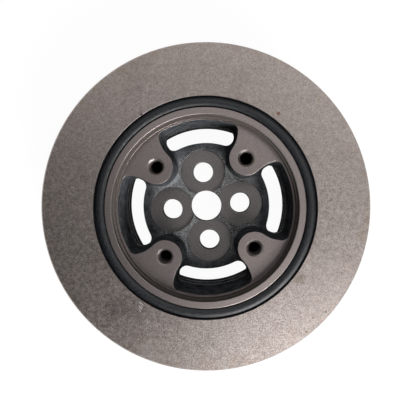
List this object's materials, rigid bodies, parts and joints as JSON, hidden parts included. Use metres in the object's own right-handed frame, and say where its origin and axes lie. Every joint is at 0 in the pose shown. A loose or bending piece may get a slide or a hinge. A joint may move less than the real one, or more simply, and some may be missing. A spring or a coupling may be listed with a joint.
{
  "type": "harmonic balancer",
  "caption": "Crankshaft harmonic balancer: deep cast iron hub with a bolted web, bonded rubber ring and heavy cast iron inertia ring.",
  "frame": {"origin": "centre of the hub's rear end face, on the plane that the part stands on", "axes": "+Z along the crankshaft axis, towards the front face that carries the pulley; +X through one crank bolt hole"},
  "size_m": [0.2, 0.2, 0.058],
  "materials": {
    "hub_iron": "machined rim and pads, rough cast cup and web",
    "rubber": "moulded, smooth",
    "ring_iron": "fine machined, mottled grey"
  },
  "bodies": {
    "root": {"hub": "hub_iron", "rubber_ring": "rubber", "inertia_ring": "ring_iron"}
  },
  "joints": []
}
